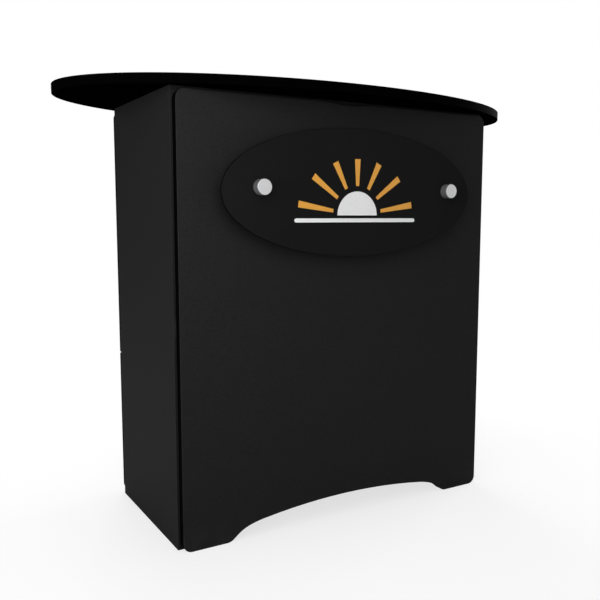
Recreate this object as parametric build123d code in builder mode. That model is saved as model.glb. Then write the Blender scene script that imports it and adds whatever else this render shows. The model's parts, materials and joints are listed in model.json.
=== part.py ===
from build123d import *
import math
import os
from typing import NamedTuple

# Counter cabinet with an oval countertop, a shaped front panel carrying an oval sign on
# standoffs, and two lockable doors at the rear.
# Millimetres. X to the right seen from the front, Y to the rear, Z up.
# Origin on the floor, under the centre of the countertop.

os.makedirs("parts", exist_ok=True)

# ---------------------------------------------------------------- driving dimensions
body_w = 849.0  # carcass width over the side panels
body_h = 983.0  # floor to the underside of the countertop
carcass_front = -194.0  # Y of the carcass planes
carcass_rear = 189.5
board_t = 19.0
loose_shelf_t = 18.0
glide_t = 1.5
clear = 0.05  # radial clearance round fixed fasteners
corner_r = 20.0  # outer corners of the front panel and the doors

base_z = 60.0  # undersides of the boards
mid_z = 361.75
loose_z = 674.5
rail_z = body_h - board_t
rail_w = 80.0  # depth of the two flat rails under the countertop

half_w = body_w / 2
inner_x = half_w - board_t  # inner face of the side panels
inner_front = carcass_front + board_t  # rear face of the inner front panel

panel_w = 838.3
panel_h = 975.5
panel_t = 20.0
front_y = carcass_front - panel_t  # front face of the front panel

standoff_xs = (-250.5, 258.7)
standoff_z = 780.5
stud_r = 4.0

door_w = 840.0
door_t = 20.0
door_in = 194.0  # Y of the inner face of the doors
door_out = door_in + door_t
door_margin = 2.0  # doors to the floor and to the countertop
door_gap = 2.5  # between the two doors
split_z = mid_z + board_t / 2  # middle of that gap

# Hinges are at +X, locks and pulls at -X
hinge_x = 422.25
hinge_y = (carcass_rear + door_in) / 2
hinge_screw_x = hinge_x - 8.5
hinge_screw_r = 1.25
hinge_bore_l = 14.0
hinge_end = 10.0  # leaves stop this far from the ends of the door
lock_x = -378.0
pull_x = -372.0
pull_centres = 128.0  # distance between the two pull screws


class Door(NamedTuple):
    name: str
    bottom: float
    top: float
    lock_z: float
    pull_z: float  # middle of the pull
    stop_z: float  # underside of the board that carries its catch and keeper


doors = (
    Door("upper", split_z + door_gap / 2, body_h - door_margin, 905.0, 705.0, rail_z),
    Door("lower", door_margin, split_z - door_gap / 2, 300.0, 190.0, mid_z),
)


# ---------------------------------------------------------------- helpers
def save(part, name):
    part.label = name
    export_step(part, f"parts/{name}.step")


def facing_front(y):
    """Sketch plane at y; extrusions from it run to the front."""
    return Plane.XZ.offset(-y)


def along(point, axis, distance):
    """The point moved along one axis."""
    x, y, z = point
    moved = {"X": (x + distance, y, z), "Y": (x, y + distance, z), "Z": (x, y, z + distance)}
    return moved[axis]


def rod(start, radius, length, axis, mode=Mode.ADD):
    """Cylinder from the start point; a negative length runs against the axis."""
    turn = {"X": (0, 90, 0), "Y": (90, 0, 0), "Z": (0, 0, 0)}[axis]
    with Locations(along(start, axis, length / 2)):
        Cylinder(radius, abs(length), rotation=turn, mode=mode)


def bore(start, radius, depth, axis):
    rod(start, radius, depth, axis, mode=Mode.SUBTRACT)


def cross_slot(centre, length, width, depth, axis):
    """Cross recess in a face square to the Y or Z axis."""
    with Locations(centre):
        if axis == "Y":
            Box(length, depth, width, mode=Mode.SUBTRACT)
            Box(width, depth, length, mode=Mode.SUBTRACT)
        else:
            Box(length, width, depth, mode=Mode.SUBTRACT)
            Box(width, length, depth, mode=Mode.SUBTRACT)


class ScrewKind(NamedTuple):
    radius: float
    head_r: float
    head_h: float
    slot_l: float
    slot_w: float
    slot_d: float
    slot_at: float  # middle of the cross recess, out from the seat of the head


panel_screw = ScrewKind(2.25, 5.0, 2.8, 5.5, 1.1, 1.4, 2.2)
pull_screw = ScrewKind(2.0, 4.2, 2.4, 4.6, 1.0, 1.2, 2.0)
latch_screw = ScrewKind(1.75, 3.4, 2.2, 4.0, 0.9, 1.2, 1.8)


def screw(kind, seat, length, axis):
    """Screw with its head on the seat; the sign of the length is the way it points."""
    out = -math.copysign(1, length)
    rod(seat, kind.radius, length, axis)
    rod(seat, kind.head_r, out * kind.head_h, axis)
    slot_centre = along(seat, axis, out * kind.slot_at)
    cross_slot(slot_centre, kind.slot_l, kind.slot_w, kind.slot_d, axis)


# ---------------------------------------------------------------- positions of the joinery
class Cam(NamedTuple):
    """Knock-down fitting at both ends of a board: bolt axis, way into the cam pocket."""

    y: float
    z: float
    into_y: int
    into_z: int

    @property
    def axis(self):
        return "Z" if self.into_z else "Y"

    def point(self, side, depth):
        """Point on the pocket axis, at a depth below the board face it opens on."""
        shift = depth - board_t / 2
        return (
            side * (inner_x - cam_in),
            self.y + self.into_y * shift,
            self.z + self.into_z * shift,
        )


def shelf_cams(underside, ys):
    return [Cam(y, underside + board_t / 2, 0, 1) for y in ys]


def shelf_dowels(underside):
    return [(y, underside + board_t / 2) for y in (-60.0, 60.0)]


cam_in = 34.0  # cam centre from the board end
base_cams = shelf_cams(base_z, (-130.0, 130.0))
mid_cams = shelf_cams(mid_z, (-130.0, 130.0))
front_rail_cams = shelf_cams(rail_z, [inner_front + 40.0])
rear_rail_cams = shelf_cams(rail_z, [carcass_rear - 40.0])
front_cams = [Cam(carcass_front + board_t / 2, z, -1, 0) for z in (150.0, 520.0, 900.0)]
toe_cams = [Cam(carcass_rear - board_t / 2, 46.0, 1, 0)]
all_cams = base_cams + mid_cams + front_rail_cams + rear_rail_cams + front_cams + toe_cams

# dowels as (y, z)
base_dowels = shelf_dowels(base_z)
mid_dowels = shelf_dowels(mid_z)
front_dowels = [(carcass_front + board_t / 2, z) for z in (330.0, 700.0)]
all_dowels = base_dowels + mid_dowels + front_dowels

end_slack = 0.5  # extra depth of blind holes
pocket_r = 7.5
pocket_depth = 14.6
bolt_r = 3.0  # cam bolt thread in the side panel
bolt_thread_l = 11.0
neck_r = 3.5  # cam bolt head inside the cam
neck_bore_r = neck_r + 0.5
dowel_r = 4.0
dowel_l = 30.0
dowel_in_side = 12.0  # dowel length inside the side panel

pin_ys = (-140.0, 150.0)  # rows of shelf pin holes
pin_z = loose_z - 2.5
pin_hole_zs = [pin_z + 64.0 * i for i in range(-3, 4)]

panel_screw_l = 31.5
panel_screw_bore = panel_screw.radius + clear
panel_screw_depth = 13.0  # blind hole in the front panel and the countertop
front_screw_xz = [(x, z) for x in (-300.0, 0.0, 300.0) for z in (120.0, 520.0, 925.0)]
top_screw_xs = (-330.0, 0.0, 330.0)
top_screw_ys = (inner_front + rail_w / 2, carcass_rear - rail_w / 2)
top_screw_xy = [(x, y) for x in top_screw_xs for y in top_screw_ys]

catch_x = -270.0
catch_y = carcass_rear - 9.0
catch_h = 16.0
keeper_y = 183.0  # rear face of the keeper flange, just behind the turned cam
keeper_t = 2.0
catch_screws_xy = [(catch_x + x, catch_y) for x in (-17.0, 17.0)]
keeper_screws_xy = [(lock_x + x, keeper_y - 12.0) for x in (-9.0, 9.0)]
latch_bore_r = latch_screw.radius + clear
latch_screw_in = 12.0  # length inside the board


def joinery_bores(cams, dowels):
    """Bolt and dowel holes in both ends of a board, then its cam pockets."""
    ends = [(cam.y, cam.z, neck_bore_r, cam_in) for cam in cams]
    dowel_depth = dowel_l - dowel_in_side + end_slack
    ends += [(y, z, dowel_r + clear, dowel_depth) for y, z in dowels]
    for y, z, radius, depth in ends:
        for side in (-1, 1):
            bore((side * inner_x, y, z), radius, -side * depth, "X")
    for cam in cams:
        for side in (-1, 1):
            bore(cam.point(side, pocket_depth / 2 - pocket_depth / 2), pocket_r,
                 pocket_depth * (cam.into_y + cam.into_z), cam.axis)


def hinge_screw_zs(door):
    count = max(4, round((door.top - door.bottom) / 100))
    step = (door.top - door.bottom - 60) / (count - 1)
    return [door.bottom + 30 + step * i for i in range(count)]


# ---------------------------------------------------------------- carcass boards
def side_panel(name, side):
    with BuildPart() as panel:
        with BuildSketch(Plane.YZ.offset(-half_w if side < 0 else inner_x)):
            with Locations(((carcass_front + carcass_rear) / 2, (glide_t + body_h) / 2)):
                Rectangle(carcass_rear - carcass_front, body_h - glide_t)
        extrude(amount=board_t)
        fillet(panel.edges().filter_by(Axis.Z), 0.8)
        holes = [(c.y, c.z, bolt_r + clear, bolt_thread_l + end_slack) for c in all_cams]
        holes += [(y, z, dowel_r + clear, dowel_in_side + end_slack) for y, z in all_dowels]
        holes += [(y, z, 2.5, 10.0) for y in pin_ys for z in pin_hole_zs]
        for y, z, radius, depth in holes:
            bore((side * inner_x, y, z), radius, side * depth, "X")
        if side > 0:
            for door in doors:
                for z in hinge_screw_zs(door):
                    start = (hinge_screw_x, carcass_rear, z)
                    bore(start, hinge_screw_r + clear, -hinge_bore_l, "Y")
    save(panel.part, name)


side_panel("left_side_panel", -1)
side_panel("right_side_panel", 1)

with BuildPart() as inner_front_panel:
    with BuildSketch(facing_front(inner_front)):
        with Locations((0, (base_z + body_h) / 2)):
            Rectangle(2 * inner_x, body_h - base_z)
    extrude(amount=board_t)
    joinery_bores(front_cams, front_dowels)
    for x, z in front_screw_xz:
        bore((x, carcass_front, z), panel_screw_bore, board_t, "Y")
    for x in standoff_xs:
        bore((x, carcass_front, standoff_z), stud_r + clear, board_t, "Y")
save(inner_front_panel.part, "inner_front_panel")


def flat_board(name, z, y0, y1, cams, dowels=(), bores=()):
    """Horizontal board between the side panels; bores are (x, y, radius, depth) from below."""
    with BuildPart() as flat:
        with BuildSketch(Plane.XY.offset(z)):
            with Locations((0, (y0 + y1) / 2)):
                Rectangle(2 * inner_x, y1 - y0)
        extrude(amount=board_t)
        fillet(flat.faces().sort_by(Axis.Y)[-1].edges().filter_by(Axis.X), 0.8)
        joinery_bores(cams, dowels)
        for x, y, radius, depth in bores:
            bore((x, y, z), radius, depth, "Z")
    save(flat.part, name)


def top_bores(row_y):
    return [(x, row_y, panel_screw_bore, board_t) for x in top_screw_xs]


latch_bores = [
    (x, y, latch_bore_r, latch_screw_in) for x, y in catch_screws_xy + keeper_screws_xy
]
flat_board("base_shelf", base_z, inner_front, carcass_rear, base_cams, base_dowels)
flat_board(
    "middle_shelf", mid_z, inner_front, carcass_rear, mid_cams, mid_dowels, latch_bores
)
flat_board(
    "front_top_rail", rail_z, inner_front, inner_front + rail_w, front_rail_cams,
    bores=top_bores(top_screw_ys[0]),
)
flat_board(
    "rear_top_rail", rail_z, carcass_rear - rail_w, carcass_rear, rear_rail_cams,
    bores=top_bores(top_screw_ys[1]) + latch_bores,
)

with BuildPart() as rear_toe_rail:
    with BuildSketch(facing_front(carcass_rear)):
        with Locations((0, (glide_t + base_z) / 2)):
            Rectangle(2 * inner_x, base_z - glide_t)
    extrude(amount=board_t)
    joinery_bores(toe_cams, [])
save(rear_toe_rail.part, "rear_toe_rail")

with BuildPart() as adjustable_shelf:
    with BuildSketch(Plane.XY.offset(loose_z)):
        with Locations((0, 4.0)):
            Rectangle(2 * inner_x - 3.0, 352.0)
    extrude(amount=loose_shelf_t)
    fillet(adjustable_shelf.edges().filter_by(Axis.X), 1.0)
save(adjustable_shelf.part, "adjustable_shelf")

# ---------------------------------------------------------------- knock-down fittings
disc_r = 7.4
disc_t = 12.9

with BuildPart() as cam_discs:
    for cam in all_cams:
        for side in (-1, 1):
            way = cam.into_y + cam.into_z
            rod(cam.point(side, 0), disc_r, way * disc_t, cam.axis)
            cross_slot(cam.point(side, 0.6), length=10.0, width=2.2, depth=3.0, axis=cam.axis)
            # mouth for the bolt head, from just past the cam axis to the outer side
            start = (side * (inner_x - cam_in - 1.0), cam.y, cam.z)
            bore(start, neck_r + 0.3, side * 10.0, "X")
save(cam_discs.part, "cam_discs")

# cam bolt sections: radius, start and end measured outward from the side panel's inner face
bolt_sections = (
    (bolt_r, 0.0, bolt_thread_l),
    (3.9, -1.5, 0.0),
    (2.2, -28.0, 0.0),
    (neck_r, -32.0, -28.0),
)
with BuildPart() as cam_bolts:
    for cam in all_cams:
        for side in (-1, 1):
            for radius, start, end in bolt_sections:
                rod((side * (inner_x + start), cam.y, cam.z), radius, side * (end - start), "X")
save(cam_bolts.part, "cam_bolts")

with BuildPart() as wood_dowels:
    for y, z in all_dowels:
        for side in (-1, 1):
            rod((side * (inner_x + dowel_in_side), y, z), dowel_r, -side * dowel_l, "X")
    chamfer(wood_dowels.edges().filter_by(GeomType.CIRCLE), 0.8)
save(wood_dowels.part, "wood_dowels")

pin_plate_t = 1.2
pin_tab_l = 13.0
pin_tab_w = 12.0
pin_tab_t = 2.0
with BuildPart() as shelf_pins:
    for y in pin_ys:
        for side in (-1, 1):
            rod((side * inner_x, y, pin_z), 2.45, side * 9.0, "X")
            with Locations((side * (inner_x - pin_plate_t / 2), y, pin_z - 2.0)):
                Box(pin_plate_t, pin_tab_w, 9.0)
            with BuildSketch(Plane.XY.offset(loose_z - pin_tab_t)):
                with Locations((side * (inner_x - pin_tab_l / 2), y)):
                    RectangleRounded(pin_tab_l, pin_tab_w, 2.5)
            extrude(amount=pin_tab_t)
save(shelf_pins.part, "shelf_pins")

with BuildPart() as floor_glides:
    for side in (-1, 1):
        for y in (-165.0, 160.0):
            rod((side * (half_w - board_t / 2), y, 0), 8.5, glide_t, "Z")
    chamfer(floor_glides.faces().filter_by(Axis.Z).group_by(Axis.Z)[0].edges(), 0.4)
save(floor_glides.part, "floor_glides")

# ---------------------------------------------------------------- countertop
top_a = 610.5  # half length of the oval
top_b = 304.0  # half depth
top_t = 20.0
band_t = 2.0

with BuildPart() as countertop:
    with BuildSketch(Plane.XY.offset(body_h)):
        Ellipse(top_a - band_t, top_b - band_t)
    extrude(amount=top_t)
    for x, y in top_screw_xy:
        bore((x, y, body_h), panel_screw_bore, panel_screw_depth, "Z")
save(countertop.part, "countertop")

with BuildPart() as countertop_edge_band:
    with BuildSketch(Plane.XY.offset(body_h)):
        Ellipse(top_a, top_b)
        Ellipse(top_a - band_t, top_b - band_t, mode=Mode.SUBTRACT)
    extrude(amount=top_t)
    curved_faces = countertop_edge_band.faces().filter_by(GeomType.PLANE, reverse=True)
    chamfer(curved_faces.sort_by(SortBy.AREA)[-1].edges(), 0.6)
save(countertop_edge_band.part, "countertop_edge_band")

with BuildPart() as countertop_screws:
    for x, y in top_screw_xy:
        screw(panel_screw, (x, y, rail_z), panel_screw_l, "Z")
save(countertop_screws.part, "countertop_screws")

# ---------------------------------------------------------------- front panel
half_panel = panel_w / 2
foot_w = 102.5  # flat underside of each foot, from the panel's edge
scallop_d = 5.2  # shallow dip in the top edge
scallop_half = 72.0
# cut-out between the feet, from the left foot to the middle: (arc radius, turn in degrees),
# or (0, length) for a straight run
arch_runs = (
    (26.0, 39.0),
    (0.0, 11.0),
    (96.0, -22.0),
    (229.0, -8.72),
)
with BuildPart() as front_panel:
    with BuildSketch(facing_front(carcass_front)):
        with BuildLine():
            run = Line((-half_panel + corner_r, 0), (-half_panel + foot_w, 0))
            for radius, turn in arch_runs:
                if radius:
                    run = JernArc(run @ 1, run % 1, radius, turn)
                else:
                    run = Line(run @ 1, run @ 1 + (run % 1) * turn)
            # last arc comes level at the middle of the panel
            rest = math.degrees(math.atan2((run % 1).Y, (run % 1).X))
            JernArc(run @ 1, run % 1, -(run @ 1).X / math.sin(math.radians(rest)), -rest)
            CenterArc((-half_panel + corner_r, corner_r), corner_r, 180, 90)
            Line((-half_panel, corner_r), (-half_panel, panel_h - corner_r))
            CenterArc((-half_panel + corner_r, panel_h - corner_r), corner_r, 90, 90)
            Line((-half_panel + corner_r, panel_h), (-scallop_half, panel_h))
            dip = TangentArc(
                (-scallop_half, panel_h),
                (-scallop_half / 2, panel_h - scallop_d / 2),
                tangent=(1, 0),
            )
            TangentArc(dip @ 1, (0, panel_h - scallop_d), tangent=dip % 1)
            mirror(about=Plane.YZ)
        make_face()
    extrude(amount=panel_t)
    front_face = front_panel.faces().filter_by(Axis.Y).sort_by(Axis.Y)[0]
    chamfer(front_face.edges(), 0.7)
    for x in standoff_xs:
        bore((x, front_y, standoff_z), stud_r + clear, panel_t, "Y")
    for x, z in front_screw_xz:
        bore((x, carcass_front, z), panel_screw_bore, -panel_screw_depth, "Y")
save(front_panel.part, "front_panel")

with BuildPart() as front_panel_screws:
    for x, z in front_screw_xz:
        screw(panel_screw, (x, inner_front, z), -panel_screw_l, "Y")
save(front_panel_screws.part, "front_panel_screws")

# ---------------------------------------------------------------- oval sign on standoffs
plaque_centre = (-4.4, 772.5)
plaque_a = 336.5  # half width
plaque_b = 142.9  # half height
plaque_t = 3.0
plaque_front = -255.0
plaque_back = plaque_front + plaque_t

with BuildPart() as sign_plaque:
    with BuildSketch(facing_front(plaque_back)):
        with Locations(plaque_centre):
            Ellipse(plaque_a, plaque_b)
        with Locations(*[(x, standoff_z) for x in standoff_xs]):
            Circle(stud_r + clear, mode=Mode.SUBTRACT)
    extrude(amount=plaque_t)
    rim = sign_plaque.faces().filter_by(Axis.Y).sort_by(Axis.Y)[0].outer_wire()
    chamfer(rim.edges(), 0.5)
save(sign_plaque.part, "sign_plaque")

barrel_r = 12.5
with BuildPart() as standoff_barrels:
    for x in standoff_xs:
        with BuildSketch(facing_front(front_y)):
            with Locations((x, standoff_z)):
                Circle(barrel_r)
                Circle(stud_r + clear, mode=Mode.SUBTRACT)
        extrude(amount=front_y - plaque_back)
    circles = standoff_barrels.edges().filter_by(GeomType.CIRCLE)
    chamfer(circles.filter_by(lambda edge: abs(edge.radius - barrel_r) < 0.01), 0.8)
save(standoff_barrels.part, "standoff_barrels")

cap_r = 17.0
cap_l = 20.0
cap_socket = 12.0
with BuildPart() as standoff_caps:
    for x in standoff_xs:
        with BuildSketch(facing_front(plaque_front)):
            with Locations((x, standoff_z)):
                Circle(cap_r)
        extrude(amount=cap_l)
        bore((x, plaque_front, standoff_z), stud_r + clear, -cap_socket, "Y")
    fillet(standoff_caps.faces().filter_by(Axis.Y).group_by(Axis.Y)[0].edges(), 1.2)
save(standoff_caps.part, "standoff_caps")

# each stud has a washer and a hexagon nut behind the inner front panel
stud_front = plaque_front - cap_socket + end_slack
stud_rear = inner_front + 8.0
washer_t = 1.4
with BuildPart() as standoff_studs:
    for x in standoff_xs:
        rod((x, stud_front, standoff_z), stud_r, stud_rear - stud_front, "Y")
        with BuildSketch(facing_front(inner_front)):
            with Locations((x, standoff_z)):
                Circle(9.0)
        extrude(amount=-washer_t)
        with BuildSketch(facing_front(inner_front + washer_t)):
            with Locations((x, standoff_z)):
                RegularPolygon(7.5, 6)
        extrude(amount=-5.6)
save(standoff_studs.part, "standoff_studs")

# plain sunrise emblem, two thin raised pieces on the plaque
emblem_x = -4.0
emblem_z = 722.0
emblem_t = 1.0
emblem_edge_r = 0.25
sun_r = 54.0

with BuildPart() as emblem_sun:
    with BuildSketch(facing_front(plaque_front)):
        with BuildLine():
            CenterArc((emblem_x, emblem_z), sun_r, 0, 180)
            Line((emblem_x - sun_r, emblem_z), (emblem_x + sun_r, emblem_z))
        make_face()
        # horizon bar
        with Locations((emblem_x, emblem_z - 11.0)):
            SlotOverall(330.0, 9.0)
    extrude(amount=emblem_t)
    sun_front = emblem_sun.faces().filter_by(Axis.Y).group_by(Axis.Y)[0]
    fillet(sun_front.edges(), emblem_edge_r)
save(emblem_sun.part, "emblem_sun")

# rays widen outward and end on an ellipse
ray_start = 66.0
ray_end_a = 158.0
ray_end_b = 126.0
ray_half_in = 4.0
ray_half_out = 7.5
with BuildPart() as emblem_rays:
    with BuildSketch(facing_front(plaque_front)):
        for i in range(7):
            angle = math.radians(9 + 27 * i)
            cos, sin = math.cos(angle), math.sin(angle)
            tip = 1.0 / math.hypot(cos / ray_end_a, sin / ray_end_b)
            corners = (
                (ray_start, -ray_half_in),
                (tip, -ray_half_out),
                (tip, ray_half_out),
                (ray_start, ray_half_in),
            )
            with BuildLine():
                Polyline(
                    *[
                        (emblem_x + out * cos - off * sin, emblem_z + out * sin + off * cos)
                        for out, off in corners
                    ],
                    close=True,
                )
            make_face()
    extrude(amount=emblem_t)
    ray_fronts = emblem_rays.faces().filter_by(Axis.Y).group_by(Axis.Y)[0]
    fillet(ray_fronts.edges(), emblem_edge_r)
save(emblem_rays.part, "emblem_rays")

# ---------------------------------------------------------------- doors
lock_r = 9.5


def pull_zs(door):
    return (door.pull_z - pull_centres / 2, door.pull_z + pull_centres / 2)


def door_panel(door):
    with BuildPart() as panel:
        with BuildSketch(facing_front(door_out)):
            with Locations((0, (door.bottom + door.top) / 2)):
                Rectangle(door_w, door.top - door.bottom)
        extrude(amount=door_t)
        corners = panel.edges().filter_by(Axis.Y).group_by(Axis.Z)
        # large radius away from the other door, small radius next to it
        far, near = (-1, 0) if door.name == "upper" else (0, -1)
        fillet(corners[far], corner_r)
        fillet(corners[near], 2.0)
        outer_face = panel.faces().filter_by(Axis.Y).sort_by(Axis.Y)[-1]
        chamfer(outer_face.edges(), 0.7)
        bore((lock_x, door_in, door.lock_z), lock_r + clear, door_t, "Y")
        for z in pull_zs(door):
            bore((pull_x, door_in, z), pull_screw.radius + clear, door_t, "Y")
        for z in hinge_screw_zs(door):
            bore((hinge_screw_x, door_in, z), hinge_screw_r + clear, hinge_bore_l, "Y")
    save(panel.part, f"{door.name}_door")


# ---------------------------------------------------------------- continuous hinges
# two leaves with interleaved knuckles on one pin
leaf_t = 1.2
leaf_w = 15.0
knuckle_r = 2.2
knuckle_l = 30.0  # nominal
knuckle_gap = 0.25  # taken off each end of a knuckle
pin_r = 1.1
pin_bore_r = 1.14
pin_head_r = 1.9
pin_head_t = 1.2
hinge_head_r = 2.4

# leaf name: (Y of the face it lies on, way out of that face, index of its first knuckle)
leaves = {"frame": (carcass_rear, 1, 0), "door": (door_in, -1, 1)}


def knuckle_spans(door):
    """Even split of the hinge into an odd number of knuckles, frame leaf first."""
    hinge_l = door.top - door.bottom - 2 * hinge_end
    count = int(hinge_l // knuckle_l)
    count += 1 - count % 2
    length = hinge_l / count
    start = door.bottom + hinge_end
    return [
        (start + i * length + knuckle_gap, start + (i + 1) * length - knuckle_gap)
        for i in range(count)
    ]


def hinge_leaf(door, which):
    seat_y, out, first = leaves[which]
    plate_y = seat_y + out * leaf_t / 2
    spans = knuckle_spans(door)
    with BuildPart() as leaf:
        with BuildSketch(Plane.XY.offset(door.bottom + hinge_end)):
            with Locations((hinge_x - leaf_w / 2, plate_y)):
                Rectangle(leaf_w, leaf_t)
        extrude(amount=door.top - door.bottom - 2 * hinge_end)
        for low, high in spans[first::2]:
            with BuildSketch(Plane.XY.offset(low)):
                with Locations((hinge_x, hinge_y)):
                    Circle(knuckle_r)
            extrude(amount=high - low)
        # room for the knuckles of the other leaf
        for low, high in spans[1 - first::2]:
            with Locations((hinge_x, hinge_y, (low + high) / 2)):
                Box(
                    2 * knuckle_r + 0.8,
                    3 * leaf_t + 3.0,
                    high - low + 4 * knuckle_gap,
                    mode=Mode.SUBTRACT,
                )
        bore((hinge_x, hinge_y, door.bottom), pin_bore_r, door.top - door.bottom, "Z")
        # countersunk screw holes
        for z in hinge_screw_zs(door):
            with Locations((hinge_screw_x, plate_y, z)):
                Cone(
                    hinge_screw_r + clear,
                    hinge_head_r + clear,
                    leaf_t,
                    rotation=(-90 * out, 0, 0),
                    mode=Mode.SUBTRACT,
                )
    save(leaf.part, f"{door.name}_hinge_{which}_leaf")


def hinge_screws(door, which):
    seat_y, out, _ = leaves[which]
    with BuildPart() as screws:
        for z in hinge_screw_zs(door):
            seat = (hinge_screw_x, seat_y, z)
            with Locations(along(seat, "Y", out * leaf_t / 2)):
                Cone(hinge_screw_r, hinge_head_r, leaf_t, rotation=(-90 * out, 0, 0))
            rod(seat, hinge_screw_r, -out * 13.0, "Y")
            head_top = along(seat, "Y", out * leaf_t)
            cross_slot(head_top, length=2.6, width=0.6, depth=1.2, axis="Y")
    save(screws.part, f"{door.name}_hinge_{which}_screws")


def hinge_pin(door):
    # pin, upper head, lower head: bottom height, radius, length
    sections = (
        (door.bottom + 9, pin_r, door.top - door.bottom - 18),
        (door.top - hinge_end + 0.2, pin_head_r, pin_head_t),
        (door.bottom + hinge_end - 1.4, pin_head_r, pin_head_t),
    )
    with BuildPart() as pin:
        for z, radius, length in sections:
            with BuildSketch(Plane.XY.offset(z)):
                with Locations((hinge_x, hinge_y)):
                    Circle(radius)
            extrude(amount=length)
    save(pin.part, f"{door.name}_hinge_pin")


# ---------------------------------------------------------------- wire pulls
pull_out = 30.0  # wire axis from the door
pull_wire_r = 4.5
pull_bend_r = 11.0


def door_pull(door):
    low, high = pull_zs(door)
    with BuildPart() as pull:
        with BuildLine() as path:
            Polyline(
                (pull_x, door_out, low),
                (pull_x, door_out + pull_out, low),
                (pull_x, door_out + pull_out, high),
                (pull_x, door_out, high),
            )
            fillet(path.vertices().sort_by(Axis.Y)[-2:], pull_bend_r)
        with BuildSketch(Plane(origin=(pull_x, door_out, low), z_dir=(0, 1, 0))):
            Circle(pull_wire_r)
        sweep()
        # a thin foot and a screw socket at each end
        for z in (low, high):
            with BuildSketch(Plane(origin=(pull_x, door_out, z), z_dir=(0, 1, 0))):
                Circle(6.5)
            extrude(amount=2.0)
            bore((pull_x, door_out, z), pull_screw.radius + clear, 12.0, "Y")
    save(pull.part, f"{door.name}_door_pull")


def pull_screws(door):
    with BuildPart() as screws:
        for z in pull_zs(door):
            screw(pull_screw, (pull_x, door_in, z), door_t + 11.0, "Y")
    save(screws.part, f"{door.name}_pull_screws")


# ---------------------------------------------------------------- cam locks
# housing and nut are fixed to the door, plug and cam turn
housing_l = 34.0
housing_end = door_out - housing_l  # Y of its inner end
flange_t = 2.4
plug_r = 6.0
plug_face = door_out + 2.0
square_y = housing_end - 0.3  # outer end of the plug's square
square_l = 2.2
lock_cam_l = 34.0
lock_cam_w = 14.0


def lock_housing(door):
    with BuildPart() as housing:
        with BuildSketch(facing_front(door_out + flange_t)):
            with Locations((lock_x, door.lock_z)):
                Circle(13.0)
        extrude(amount=flange_t)
        with BuildSketch(facing_front(door_out)):
            with Locations((lock_x, door.lock_z)):
                Circle(lock_r)
        extrude(amount=housing_l)
        outer_rim = housing.faces().filter_by(Axis.Y).sort_by(Axis.Y)[-1].edges()
        fillet(outer_rim, 1.2)
        bore((lock_x, housing_end - 2.0, door.lock_z), plug_r + 0.06, 40.0, "Y")
    save(housing.part, f"{door.name}_lock_housing")


def lock_nut(door):
    with BuildPart() as nut:
        with BuildSketch(facing_front(door_in)):
            with Locations((lock_x, door.lock_z)):
                RegularPolygon(14.5, 6)
                Circle(lock_r + clear, mode=Mode.SUBTRACT)
        extrude(amount=5.0)
    save(nut.part, f"{door.name}_lock_nut")


def lock_plug(door):
    with BuildPart() as plug:
        with BuildSketch(facing_front(plug_face)):
            with Locations((lock_x, door.lock_z)):
                Circle(plug_r)
        extrude(amount=plug_face - square_y)
        with BuildSketch(facing_front(square_y)):
            with Locations((lock_x, door.lock_z)):
                Rectangle(7.0, 7.0)
        extrude(amount=square_l)
        # key slot
        with Locations((lock_x, plug_face, door.lock_z)):
            Box(1.6, 16.0, 7.0, mode=Mode.SUBTRACT)
        # hexagon that holds the cam
        with BuildSketch(facing_front(square_y - square_l)):
            with Locations((lock_x, door.lock_z)):
                RegularPolygon(5.2, 6)
        extrude(amount=2.6)
    save(plug.part, f"{door.name}_lock_plug")


def lock_cam(door):
    """At rest the cam points to the middle of the door; a quarter turn points it up."""
    with BuildPart() as cam:
        with BuildSketch(facing_front(housing_end - 0.4)):
            with Locations((lock_x + (lock_cam_l - lock_cam_w / 2) / 2, door.lock_z)):
                SlotOverall(lock_cam_l + lock_cam_w / 2, lock_cam_w)
            with Locations((lock_x, door.lock_z)):
                Rectangle(7.1, 7.1, mode=Mode.SUBTRACT)
        extrude(amount=2.0)
        straight = cam.edges().filter_by(Axis.Y, reverse=True).filter_by(GeomType.LINE)
        fillet(straight.group_by(SortBy.LENGTH)[-1], 0.3)
    save(cam.part, f"{door.name}_lock_cam")


# ---------------------------------------------------------------- bumpers and catches
magnet_drop = 8.5  # magnet centre below the board that carries the catch
magnet_out = 2.8  # how far it stands behind the carcass


def door_bumpers(door):
    """Rubber bumpers that close the gap to the left side panel."""
    with BuildPart() as bumpers:
        for z in (door.bottom + 90.0, door.top - 90.0):
            with BuildSketch(facing_front(door_in)):
                with Locations((-(half_w - board_t / 2), z)):
                    Circle(5.0)
            extrude(amount=4.3, taper=8)
    save(bumpers.part, f"{door.name}_door_bumpers")


def strike_plate(door):
    """Steel strike that meets the magnet."""
    with BuildPart() as strike:
        with BuildSketch(facing_front(door_in)):
            with Locations((catch_x, door.stop_z - magnet_drop)):
                RectangleRounded(34.0, 13.0, 2.0)
        extrude(amount=1.5)
    save(strike.part, f"{door.name}_strike_plate")


for door in doors:
    door_panel(door)
    for which in leaves:
        hinge_leaf(door, which)
        hinge_screws(door, which)
    hinge_pin(door)
    door_pull(door)
    pull_screws(door)
    lock_housing(door)
    lock_nut(door)
    lock_plug(door)
    lock_cam(door)
    door_bumpers(door)
    strike_plate(door)

# magnetic catches under the rear rail and under the middle shelf
with BuildPart() as magnet_catches:
    for door in doors:
        with Locations((catch_x, catch_y, door.stop_z - catch_h / 2)):
            Box(46.0, 21.0, catch_h)
    fillet(magnet_catches.edges().filter_by(Axis.Y), 1.5)
    for door in doors:
        with Locations((catch_x, carcass_rear + magnet_out / 2, door.stop_z - magnet_drop)):
            Box(24.0, magnet_out, 7.0)
        for x, y in catch_screws_xy:
            bore((x, y, door.stop_z), latch_bore_r, -catch_h, "Z")
save(magnet_catches.part, "magnet_catches")

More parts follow.
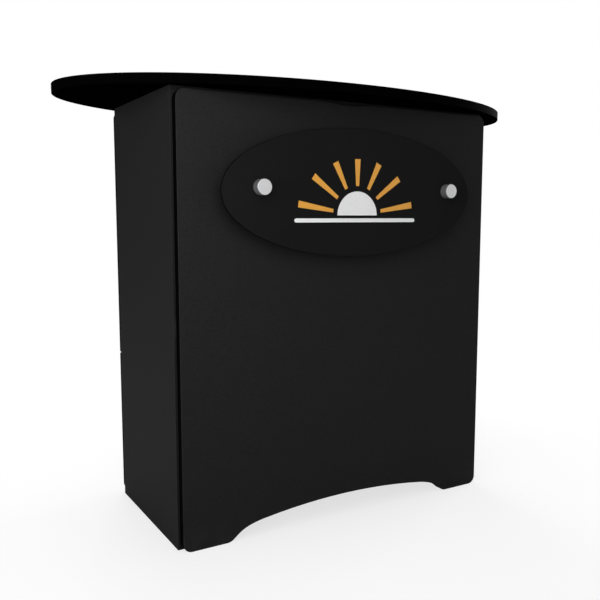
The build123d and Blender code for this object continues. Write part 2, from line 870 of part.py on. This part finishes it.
# keepers: angle plates that the lock cams turn in behind
keeper_w = 32.0
keeper_leg = 21.0  # depth of the leg under the board
with BuildPart() as lock_keepers:
    for door in doors:
        z = door.stop_z
        flange_z = door.lock_z + 18.0
        with BuildSketch(Plane.YZ.offset(lock_x - keeper_w / 2)):
            with BuildLine():
                Polyline(
                    (keeper_y, z),
                    (keeper_y, flange_z),
                    (keeper_y - keeper_t, flange_z),
                    (keeper_y - keeper_t, z - keeper_t),
                    (keeper_y - keeper_leg, z - keeper_t),
                    (keeper_y - keeper_leg, z),
                    close=True,
                )
            make_face()
        extrude(amount=keeper_w)
        for x, y in keeper_screws_xy:
            bore((x, y, z), latch_bore_r, -keeper_t, "Z")
save(lock_keepers.part, "lock_keepers")

with BuildPart() as catch_and_keeper_screws:
    for door in doors:
        for places, under in ((catch_screws_xy, catch_h), (keeper_screws_xy, keeper_t)):
            for x, y in places:
                seat = (x, y, door.stop_z - under)
                screw(latch_screw, seat, under + latch_screw_in, "Z")
save(catch_and_keeper_screws.part, "catch_and_keeper_screws")
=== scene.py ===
"""Materials and studio for a black board cabinet with a top, a door and a sign with an emblem.

The cabinet stands on z = 0, its front faces -Y and its width runs along X. Metres, Z up.
"""
import bpy, bmesh, math, json
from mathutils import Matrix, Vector

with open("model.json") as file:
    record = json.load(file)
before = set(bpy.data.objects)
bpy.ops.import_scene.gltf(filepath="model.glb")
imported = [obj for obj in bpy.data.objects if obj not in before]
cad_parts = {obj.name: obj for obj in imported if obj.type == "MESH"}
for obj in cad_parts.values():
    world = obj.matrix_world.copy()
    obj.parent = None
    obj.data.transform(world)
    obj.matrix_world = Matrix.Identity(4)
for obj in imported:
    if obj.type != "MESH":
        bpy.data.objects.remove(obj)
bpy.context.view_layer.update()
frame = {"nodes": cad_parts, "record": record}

X, Y, Z = 0, 1, 2

# Places rubbed by hands on the door: x, z, radius
DOOR_HANDS = ((-0.372, 0.705, 0.15), (-0.372, 0.190, 0.15), (-0.30, 0.82, 0.10))

# The two turned aluminium pieces lie either side of a centre line
TURNED_CENTRE_X = 0.0041
TURNED_HALF_PITCH = 0.2546
TURNED_Z = 0.7805

FLOOR_RADIUS = 14.0
FLOOR_FADE = (0.8, 2.6)  # distances between which the floor turns towards pure white

CAMERA_PLACE = (-0.95677, -1.61900, 0.71804)
CAMERA_DOWN = 0.113611   # radians below level
CAMERA_TURN = -0.531604  # radians about Z
CAMERA_LENS = 43.526     # mm
CAMERA_SHIFT = (-0.000117, -0.000050)

# Square area lights: name, place, target, side, power in watts
LIGHTS = (
    ("key", (-1.25, -1.60, 1.30), (-0.35, -0.1, 0.75), 2.0, 9.4),
    ("kicker", (-0.66, -1.02, 1.10), (-0.44, -0.2, 0.96), 1.0, 5.5),
    ("left", (-3.4, -0.4, 0.52), (-0.4, 0.0, 0.5), 2.2, 92),
    ("fill", (2.8, -2.8, 1.3), (0.1, 0.0, 0.6), 2.6, 10.2),
    ("back", (0.55, 3.6, 2.2), (0.0, 0.2, 0.65), 1.8, 78),
    ("back_fill", (1.9, 3.2, 1.5), (0.0, 0.2, 0.6), 2.0, 26),
    ("side", (4.2, 0.7, 1.25), (0.3, 0.0, 0.55), 2.2, 110),
    ("overhead", (0.2, 0.2, 3.6), (0.0, 0.0, 0.0), 3.0, 64),
)


# ------------------------------------------------------------------ node helpers
def grey(value):
    return (value,) * 3


def cool_grey(base, gain):
    """Grey at a multiple of base, with a trace more blue."""
    return (base * gain, base * gain, base * (gain + 0.01))


def scaled(colour, gain):
    return tuple(channel * gain for channel in colour)


class Shader:
    """Builds one Principled material from nodes; most methods return an output socket."""

    INPUTS = {"base": "Base Color", "rough": "Roughness", "metal": "Metallic",
              "spec": "Specular IOR Level"}

    def __init__(self, name):
        self.material = bpy.data.materials.new(name)
        self.material.use_nodes = True
        self.tree = self.material.node_tree
        self.tree.nodes.clear()
        self.output = self.node("ShaderNodeOutputMaterial")
        self.bsdf = self.node("ShaderNodeBsdfPrincipled")
        self.link(self.bsdf.outputs[0], self.output.inputs[0])
        self.coord = self.node("ShaderNodeTexCoord").outputs["Object"]
        self.last_bump = None

    def node(self, kind, **props):
        node = self.tree.nodes.new(kind)
        for key, value in props.items():
            setattr(node, key, value)
        return node

    def link(self, source, socket):
        self.tree.links.new(source, socket)

    def put(self, socket, value):
        """Feed a socket with a number, an RGB tuple or another socket."""
        if isinstance(value, (int, float)):
            socket.default_value = value
        elif isinstance(value, tuple):
            socket.default_value = (*value, 1.0)
        else:
            self.link(value, socket)

    def set(self, **values):
        for key, value in values.items():
            self.put(self.bsdf.inputs[self.INPUTS[key]], value)

    def math(self, operation, *values):
        node = self.node("ShaderNodeMath", operation=operation)
        for socket, value in zip(node.inputs, values):
            self.put(socket, value)
        return node.outputs[0]

    def plus(self, a, b):
        return self.math("ADD", a, b)

    def minus(self, a, b):
        return self.math("SUBTRACT", a, b)

    def times(self, a, b):
        return self.math("MULTIPLY", a, b)

    def mapping(self, scale, rot=(0, 0, 0), loc=(0, 0, 0), source=None):
        node = self.node("ShaderNodeMapping")
        self.link(source or self.coord, node.inputs[0])
        node.inputs["Location"].default_value = loc
        node.inputs["Rotation"].default_value = rot
        node.inputs["Scale"].default_value = scale
        return node.outputs[0]

    def noise(self, scale, detail=4, rough=0.5, vec=None, distort=0.0):
        node = self.node("ShaderNodeTexNoise")
        self.link(vec or self.coord, node.inputs["Vector"])
        node.inputs["Scale"].default_value = scale
        node.inputs["Detail"].default_value = detail
        node.inputs["Roughness"].default_value = rough
        node.inputs["Distortion"].default_value = distort
        return node.outputs["Fac"]

    def grain(self, scale, **options):
        """Noise with its own scale along each axis; the low-scale axes run along the grain."""
        return self.noise(scale=1.0, vec=self.mapping(scale=scale), **options)

    def voronoi(self, scale):
        node = self.node("ShaderNodeTexVoronoi", feature="F1")
        self.link(self.coord, node.inputs["Vector"])
        node.inputs["Scale"].default_value = scale
        return node.outputs["Distance"]

    def ramp(self, fac, low, high):
        """Blend two colours over the middle of a noise's range."""
        node = self.node("ShaderNodeValToRGB")
        self.link(fac, node.inputs[0])
        stops = ((0.3, low), (0.7, high))
        for element, (position, colour) in zip(node.color_ramp.elements, stops):
            element.position = position
            element.color = (*colour, 1)
        return node.outputs[0]

    def span(self, fac, over=(0.3, 0.7), to=(0.0, 1.0)):
        """Map one range onto another, clamped. The default range is the middle of a noise."""
        node = self.node("ShaderNodeMapRange")
        self.link(fac, node.inputs[0])
        for index, value in enumerate((*over, *to), start=1):
            node.inputs[index].default_value = value
        return node.outputs[0]

    def fade(self, mask, to):
        return self.span(mask, over=(0, 1), to=to)

    def mix(self, fac, a, b):
        node = self.node("ShaderNodeMix", data_type="RGBA")
        # the colour sockets of a Mix node are inputs 6 and 7 and output 2
        for index, value in ((0, fac), (6, a), (7, b)):
            self.put(node.inputs[index], value)
        return node.outputs[2]

    def bump(self, height, strength, distance):
        """Add a bump on top of any earlier one."""
        node = self.node("ShaderNodeBump")
        node.inputs["Strength"].default_value = strength
        node.inputs["Distance"].default_value = distance
        self.link(height, node.inputs["Height"])
        if self.last_bump is not None:
            self.link(self.last_bump, node.inputs["Normal"])
        self.last_bump = node.outputs[0]
        self.link(self.last_bump, self.bsdf.inputs["Normal"])

    def split(self, vec):
        node = self.node("ShaderNodeSeparateXYZ")
        self.link(vec, node.inputs[0])
        return node.outputs

    def normal(self, axis):
        """One component of the surface normal in the piece's own axes."""
        return self.split(self.node("ShaderNodeTexCoord").outputs["Normal"])[axis]

    def facing(self, axis, over=(0.75, 0.95)):
        """1 on faces whose normal lies along the axis, either way."""
        return self.span(self.math("ABSOLUTE", self.normal(axis)), over=over)

    def facing_negative(self, axis):
        """1 on faces looking down the negative axis."""
        return self.span(self.normal(axis), over=(-0.6, -0.9))

    def combine(self, parts):
        """Vector from sockets keyed by axis; other components stay 0."""
        node = self.node("ShaderNodeCombineXYZ")
        for axis, socket in parts.items():
            self.link(socket, node.inputs[axis])
        return node.outputs[0]

    def length(self, vec):
        node = self.node("ShaderNodeVectorMath", operation="LENGTH")
        self.link(vec, node.inputs[0])
        return node.outputs["Value"]

    def edge(self, radius):
        """1 near a convex or concave edge, 0 on open faces."""
        bevel = self.node("ShaderNodeBevel")
        bevel.inputs["Radius"].default_value = radius
        geometry = self.node("ShaderNodeNewGeometry")
        dot = self.node("ShaderNodeVectorMath", operation="DOT_PRODUCT")
        self.link(bevel.outputs[0], dot.inputs[0])
        self.link(geometry.outputs["Normal"], dot.inputs[1])
        return self.span(dot.outputs["Value"], over=(1.0, 0.75))

    def patchy_edge(self, radius, scale, over, to=(0.0, 1.0)):
        """Edge mask broken up by noise."""
        patches = self.noise(scale=scale, detail=5, rough=0.7)
        return self.times(self.edge(radius), self.span(patches, over=over, to=to))


def scratches(mat, count, width, seed, axis):
    """Mask of sparse hairline scratches lying in the plane across the axis."""
    level = 0.72          # noise value that each hairline follows
    along, across = 5.5, 160.0  # noise scales
    total = None
    for k in range(count):
        rot = [0.0, 0.0, 0.0]
        rot[axis] = 0.5 + 2.3 * k + seed
        scale = [along] * 3
        scale[(axis + 1) % 3] = across
        vec = mat.mapping(scale=scale, rot=rot, loc=(3.7 * k + seed, 1.9 * k, 5.1 * k))
        lines = mat.noise(scale=1.0, detail=2, vec=vec, distort=0.25)
        lines = mat.span(lines, over=(level - width, level + width))
        total = lines if total is None else mat.math("MAXIMUM", total, lines)
    patches = mat.noise(scale=4.5, detail=3, rough=0.6)
    return mat.times(total, mat.span(patches, over=(0.48, 0.62)))


def board_colour(mat, base, cloud, mottle, cloud_share, dark, pale,
                 grit_scale, grit_amount, grit_gain, dust_scale, dust_amount):
    """Black board face: cloud and mottle between dark and pale, fine grit, specks of dust."""
    tone = mat.plus(mat.times(cloud, cloud_share), mat.times(mottle, 1.0 - cloud_share))
    colour = mat.ramp(tone, cool_grey(base, dark), cool_grey(base, pale))
    grit = mat.noise(scale=grit_scale, detail=3, rough=0.65)
    grit = mat.span(grit, over=(0.35, 0.65), to=(0.0, grit_amount))
    colour = mat.mix(grit, colour, cool_grey(base, grit_gain))
    dots = mat.span(mat.voronoi(scale=240.0), over=(0.14, 0.06))
    dusty = mat.span(mat.noise(scale=dust_scale, detail=3, rough=0.6), over=(0.54, 0.64))
    specks = mat.times(dots, mat.times(dusty, dust_amount))
    return mat.mix(specks, colour, (0.12, 0.12, 0.118))


# ------------------------------------------------------------------ materials
def painted(mat, hands=()):
    """Satin black paint: orange peel, low scuffs, pale rims that are partly rubbed wear and partly
    a painted edge highlight, near-black edges and a polished patch round each place in hands
    (x, z, radius)."""
    mottle = mat.noise(scale=55.0, rough=0.6)
    colour = board_colour(
        mat, base=0.0144, cloud=mat.noise(scale=3.0, detail=5, rough=0.55), mottle=mottle,
        cloud_share=0.6, dark=0.80, pale=0.93, grit_scale=330.0, grit_amount=0.75,
        grit_gain=1.35, dust_scale=31.0, dust_amount=0.22)
    x, _, z = mat.split(mat.coord)

    # grey haze just above the floor
    haze = mat.span(mat.noise(scale=26.0, detail=5, rough=0.7), over=(0.38, 0.66), to=(0.0, 0.045))
    haze = mat.times(mat.span(z, over=(0.0, 0.07), to=(1.0, 0.0)), haze)
    colour = mat.mix(haze, colour, (0.16, 0.155, 0.15))

    # scuffs, strong near the floor and faint higher up
    scuff_strength = 0.12
    low = mat.span(z, over=(0.0, 0.26), to=(1.0, 0.10))
    hairlines = scratches(mat, count=3, width=0.018, seed=0.4, axis=Y)
    scuffs = mat.times(hairlines, mat.times(low, scuff_strength))
    colour = mat.mix(scuffs, colour, (0.085, 0.085, 0.083))

    face = mat.facing(Y, over=(0.5, 0.68))
    colour = mat.mix(face, grey(0.0006), colour)

    # rubbed rims, mostly low down and on the broad faces; the paler rims are partly wear and
    # partly a painted highlight along the edges
    wear = mat.patchy_edge(radius=0.0018, scale=34.0, over=(0.44, 0.62))
    wear = mat.times(wear, mat.span(z, over=(0.02, 0.16), to=(1.0, 0.45)))
    wear = mat.times(wear, mat.fade(face, to=(0.04, 0.45)))
    colour = mat.mix(wear, colour, (0.075, 0.074, 0.072))

    # roughness: slow drift, rougher with the mottle and scuffs, smoother under hands
    from_mottle, from_scuffs, from_hands = 0.05, 0.3, 0.20
    rough = mat.span(mat.noise(scale=7.0, detail=5, rough=0.6), to=(0.545, 0.615))
    rough = mat.plus(rough, mat.times(mottle, from_mottle))
    rough = mat.plus(rough, mat.times(scuffs, from_scuffs))
    for hand_x, hand_z, radius in hands:
        offset = mat.combine({X: mat.minus(x, hand_x), Z: mat.minus(z, hand_z)})
        near = mat.span(mat.length(offset), over=(radius * 0.35, radius), to=(1.0, 0.0))
        smears = mat.noise(scale=42.0, rough=0.65, distort=1.2)
        touch = mat.times(near, mat.span(smears, over=(0.42, 0.60)))
        rough = mat.minus(rough, mat.times(touch, from_hands))

    mat.set(base=colour, rough=rough, spec=mat.fade(face, to=(0.012, 0.12)))
    mat.bump(mat.noise(scale=620.0, detail=2, rough=0.4), strength=0.18, distance=0.0005)
    mat.bump(mat.noise(scale=210.0, detail=3, rough=0.55), strength=0.12, distance=0.001)


def laminate(mat, base, rough, spec, drift, scratch_axis, scratch, under=None, front=1.0):
    """Melamine-faced board: pebbled, with hairline scratches. The underside grey is painted shade:
    downward faces are coloured near black for the shade under the top. The front gain is painted
    light: faces that look to the front are brightened to lift the shade in the recess beside the
    front panel."""
    colour = board_colour(
        mat, base=base, cloud=mat.noise(scale=4.0, rough=0.55),
        mottle=mat.noise(scale=90.0, detail=3, rough=0.6), cloud_share=0.4, dark=0.86,
        pale=0.96, grit_scale=360.0, grit_amount=0.7, grit_gain=1.3, dust_scale=33.0,
        dust_amount=0.16)

    # roughness: smears, rougher with the pebble and scratches, at least this dull below
    from_pebble, from_scratches, underside = 0.05, 0.10, 0.85
    pebble = mat.voronoi(scale=700.0)
    smear = mat.noise(scale=11.0, detail=6, rough=0.65,
                      vec=mat.mapping(scale=(1.0, 1.0, 1.6), rot=(0.3, 0.2, 0.5)))
    roughness = mat.plus(mat.span(smear, over=(0.35, 0.7), to=(rough - drift, rough + drift)),
                         mat.times(pebble, from_pebble))
    hairlines = scratches(mat, count=4, width=0.016, seed=1.7, axis=scratch_axis)
    colour = mat.mix(mat.times(hairlines, scratch), colour, (0.07, 0.07, 0.068))
    roughness = mat.plus(roughness, mat.times(hairlines, from_scratches))

    z = mat.split(mat.coord)[Z]
    wear = mat.patchy_edge(radius=0.0015, scale=30.0, over=(0.45, 0.64), to=(0.0, 0.5))
    wear = mat.times(wear, mat.span(z, over=(0.02, 0.2), to=(1.0, 0.4)))
    colour = mat.mix(wear, colour, (0.06, 0.059, 0.057))
    # painted light: faces looking to the front are made brighter by the front gain, to lift the
    # shade in the recess beside the front panel
    if front != 1.0:
        gain = mat.fade(mat.facing_negative(Y), to=(1.0, front))
        front_painted_light = mat.node("ShaderNodeVectorMath", operation="SCALE")
        mat.link(colour, front_painted_light.inputs[0])
        mat.link(gain, front_painted_light.inputs["Scale"])
        colour = front_painted_light.outputs[0]
    # painted shade: downward faces get a near-black grey and no specular, for the shade under the
    # top
    if under is not None:
        down = mat.facing_negative(Z)
        colour = mat.mix(down, colour, grey(under))
        spec = mat.fade(down, to=(spec, 0.0))
        roughness = mat.math("MAXIMUM", roughness, mat.times(down, underside))
    mat.set(base=colour, rough=roughness, spec=spec)
    mat.bump(pebble, strength=0.20, distance=0.0004)
    mat.bump(mat.noise(scale=230.0, detail=3, rough=0.55), strength=0.12, distance=0.0008)


def edge_band(mat, base=0.0007):
    """Dull extruded plastic edging with faint drawn lines."""
    lines = mat.grain(scale=(3.0, 3.0, 1600.0), detail=3, rough=0.7)
    cloud = mat.noise(scale=12.0, rough=0.6)
    colour = mat.ramp(cloud, grey(base * 0.8), grey(base * 1.3))
    wear = mat.patchy_edge(radius=0.0009, scale=45.0, over=(0.5, 0.7), to=(0.0, 0.35))
    colour = mat.mix(wear, colour, grey(0.010))
    mat.set(base=colour, rough=mat.span(lines, to=(0.66, 0.80)), spec=0.003)
    mat.bump(lines, strength=0.08, distance=0.0003)


def sign_sheet(mat, base=0.0110):
    """Matt black sheet with a very fine brushed grain and a darker rim."""
    grain = mat.grain(scale=(14.0, 14.0, 1500.0), detail=5, rough=0.6)
    colour = mat.ramp(mat.noise(scale=5.0), grey(base * 0.92), grey(base * 1.08))
    face = mat.facing(Y)
    colour = mat.mix(face, grey(0.0008), colour)
    mat.set(base=colour, rough=mat.span(grain, to=(0.46, 0.6)),
            spec=mat.fade(face, to=(0.006, 0.022)))
    mat.bump(grain, strength=0.05, distance=0.0003)
    mat.bump(mat.noise(scale=300.0, detail=2), strength=0.04, distance=0.0005)


def turned(mat, base=(0.96, 0.96, 0.97)):
    """Turned aluminium: fine rings on the faces, feed lines round the barrel, whose colour is
    painted darker as shade.
    """
    x, y, z = mat.split(mat.coord)
    from_centre = mat.math("ABSOLUTE", mat.minus(x, TURNED_CENTRE_X))
    across = mat.minus(from_centre, TURNED_HALF_PITCH)
    up = mat.minus(z, TURNED_Z)
    radius = mat.math("SQRT", mat.plus(mat.times(across, across), mat.times(up, up)))
    vec = mat.mapping(scale=(2600.0, 2600.0, 1.0), source=mat.combine({X: radius, Y: y}))
    rings = mat.noise(scale=1.0, rough=0.7, vec=vec)
    smudge = mat.noise(scale=60.0, rough=0.6)
    colour = mat.mix(mat.span(rings), scaled(base, 0.93), base)
    # painted shade: the barrel is coloured at 0.23 of the faces' grey
    colour = mat.mix(mat.facing(Y), scaled(base, 0.23), colour)
    from_smudge = 0.06  # share of the smudges in the roughness
    rough = mat.plus(mat.span(rings, to=(0.31, 0.44)), mat.times(smudge, from_smudge))
    mat.set(base=colour, metal=0.55, rough=rough)
    mat.bump(rings, strength=0.12, distance=0.0002)


def steel(mat, base, rough, grain_scale, patch=0.06):
    """Plated or brushed steel: fine grain and, by patch, an uneven lustre."""
    grain = mat.grain(scale=grain_scale, rough=0.65)
    blotch = mat.noise(scale=120.0, rough=0.6)
    colour = mat.mix(mat.span(blotch, over=(0.35, 0.65)), scaled(base, 0.86), base)
    roughness = mat.plus(mat.span(grain, to=(rough - 0.06, rough + 0.07)),
                         mat.times(blotch, patch))
    mat.set(base=colour, metal=1.0, rough=roughness)
    mat.bump(grain, strength=0.12, distance=0.0002)


def plastic(mat, base, rough, spec=0.3, grain_scale=900.0):
    """Grained dark plastic or rubber with slightly paler edges."""
    grain = mat.noise(scale=grain_scale, detail=3)
    colour = mat.mix(mat.span(mat.noise(scale=25.0)), grey(base * 0.85), grey(base * 1.1))
    edge_strength = 0.2
    wear = mat.times(mat.edge(radius=0.0006), edge_strength)
    colour = mat.mix(wear, colour, grey(base * 1.6 + 0.02))
    mat.set(base=colour, rough=mat.span(grain, to=(rough - 0.05, rough + 0.07)), spec=spec)
    mat.bump(grain, strength=0.10, distance=0.0003)


def film(mat, base):
    """Film-faced acrylic: slight peel, soft tone, darker sides."""
    peel = mat.noise(scale=240.0, detail=2, rough=0.4)
    tone = mat.noise(scale=18.0, detail=3)
    colour = mat.mix(mat.span(tone), scaled(base, 0.96), base)
    colour = mat.mix(mat.facing(Y), scaled(base, 0.7), colour)
    mat.set(base=colour, rough=mat.span(peel, to=(0.25, 0.36)), spec=0.4)
    mat.bump(peel, strength=0.03, distance=0.0003)


def beech(mat):
    """Beech with its grain along X and short dark flecks."""
    grain = mat.grain(scale=(30.0, 900.0, 900.0), detail=6, rough=0.65, distort=0.4)
    fleck = mat.grain(scale=(220.0, 2400.0, 2400.0), detail=3)
    colour = mat.ramp(grain, (0.47, 0.30, 0.16), (0.66, 0.48, 0.29))
    colour = mat.mix(mat.span(fleck, over=(0.6, 0.7), to=(0, 0.4)), colour, (0.30, 0.18, 0.09))
    mat.set(base=colour, rough=0.62, spec=0.3)
    mat.bump(grain, strength=0.2, distance=0.0003)


ALONG_Z = (900.0, 900.0, 9.0)  # scales of a brushed grain that runs along Z

# Material slot: builder and its options
RECIPES = {
    # the top's underside grey is painted shade
    "top_laminate": (laminate, dict(base=0.009, rough=0.46, spec=0.22, under=0.0006,
                                    drift=0.022, scratch_axis=Z, scratch=0.3)),
    "edge_band": (edge_band, {}),
    # front=1.2 is painted light on the carcass's front-facing faces
    "carcass_laminate": (laminate, dict(base=0.0112, rough=0.64, spec=0.07, drift=0.012,
                                        scratch_axis=X, scratch=0.12, front=1.2)),
    "front_paint": (painted, {}),
    "door_paint": (painted, dict(hands=DOOR_HANDS)),
    "sign_acrylic": (sign_sheet, {}),
    "satin_aluminium": (turned, {}),
    "zinc_steel": (steel, dict(base=(0.62, 0.62, 0.60), rough=0.36, grain_scale=grey(700.0))),
    "hinge_steel": (steel, dict(base=(0.16, 0.16, 0.165), rough=0.4, grain_scale=ALONG_Z)),
    "pull_steel": (steel, dict(base=grey(0.58), rough=0.3, grain_scale=ALONG_Z)),
    "lock_chrome": (steel, dict(base=(0.72, 0.72, 0.74), rough=0.16,
                                grain_scale=grey(500.0), patch=0.1)),
    "dowel_wood": (beech, {}),
    "glide_plastic": (plastic, dict(base=0.03, rough=0.5)),
    "bumper_rubber": (plastic, dict(base=0.016, rough=0.78, spec=0.15, grain_scale=1400.0)),
    "emblem_white": (film, dict(base=grey(0.96))),
    "emblem_amber": (film, dict(base=(0.85, 0.40, 0.06))),
}

materials = {}
for name, (build, options) in RECIPES.items():
    shader = Shader(name)
    build(shader, **options)
    materials[name] = shader.material

slots = {part["node"]: part["material_slot"] for part in frame["record"]["subparts"]}
for name, piece in frame["nodes"].items():
    piece.data.materials.clear()
    piece.data.materials.append(materials[slots[name]])


# ------------------------------------------------------------------ stage
def add_object(name, data):
    obj = bpy.data.objects.new(name, data)
    bpy.context.scene.collection.objects.link(obj)
    return obj


def floor_paper(mat):
    """White paper that glows towards pure white far out, for the camera only."""
    far = mat.span(mat.length(mat.coord), over=FLOOR_FADE, to=(0.72, 1.0))
    glow = mat.node("ShaderNodeEmission")
    mat.put(glow.inputs["Color"], grey(1.0))
    mat.put(glow.inputs["Strength"], 1.0)
    seen = mat.node("ShaderNodeLightPath").outputs["Is Camera Ray"]
    blend = mat.node("ShaderNodeMixShader")
    mat.set(base=mat.mix(seen, grey(0.42), grey(0.92)), rough=0.9, spec=0.1)
    for index, source in enumerate((mat.times(far, seen), mat.bsdf.outputs[0], glow.outputs[0])):
        mat.link(source, blend.inputs[index])
    mat.link(blend.outputs[0], mat.output.inputs[0])
    mat.bump(mat.noise(scale=30.0, detail=3), strength=0.02, distance=0.001)


def add_floor():
    mesh = bpy.data.meshes.new("floor")
    disc = bmesh.new()
    bmesh.ops.create_circle(disc, cap_ends=True, radius=FLOOR_RADIUS, segments=96)
    disc.to_mesh(mesh)
    disc.free()
    add_object("floor", mesh)
    paper = Shader("floor_paper")
    floor_paper(paper)
    mesh.materials.append(paper.material)


def add_world():
    """Pure white to the camera, a dim white light to everything else."""
    world = bpy.data.worlds.new("studio")
    bpy.context.scene.world = world
    world.use_nodes = True
    nodes, links = world.node_tree.nodes, world.node_tree.links
    nodes.clear()
    output = nodes.new("ShaderNodeOutputWorld")
    blend = nodes.new("ShaderNodeMixShader")
    for index, strength in ((2, 1.0), (1, 0.08)):  # seen by the camera, by other rays
        background = nodes.new("ShaderNodeBackground")
        background.inputs["Color"].default_value = (1, 1, 1, 1)
        background.inputs["Strength"].default_value = strength
        links.new(background.outputs[0], blend.inputs[index])
    path = nodes.new("ShaderNodeLightPath")
    links.new(path.outputs["Is Camera Ray"], blend.inputs[0])
    links.new(blend.outputs[0], output.inputs[0])


def add_light(name, place, target, side, power):
    lamp = bpy.data.lights.new(name, "AREA")
    lamp.shape = "RECTANGLE"
    lamp.size = lamp.size_y = side
    lamp.energy = power
    light = add_object(name, lamp)
    light.location = place
    aim = Vector(target) - Vector(place)
    light.rotation_euler = aim.to_track_quat("-Z", "Y").to_euler()


def add_camera():
    lens = bpy.data.cameras.new("camera")
    lens.sensor_width = 36.0
    lens.lens = CAMERA_LENS
    lens.clip_end = 60.0
    lens.shift_x, lens.shift_y = CAMERA_SHIFT
    camera = add_object("camera", lens)
    camera.location = CAMERA_PLACE
    camera.rotation_euler = (math.radians(90.0) - CAMERA_DOWN, 0.0, CAMERA_TURN)
    bpy.context.scene.camera = camera


add_floor()
add_world()
for light_row in LIGHTS:
    add_light(*light_row)
add_camera()
bpy.context.scene.view_settings.view_transform = "Standard"
bpy.context.scene.view_settings.look = "None"
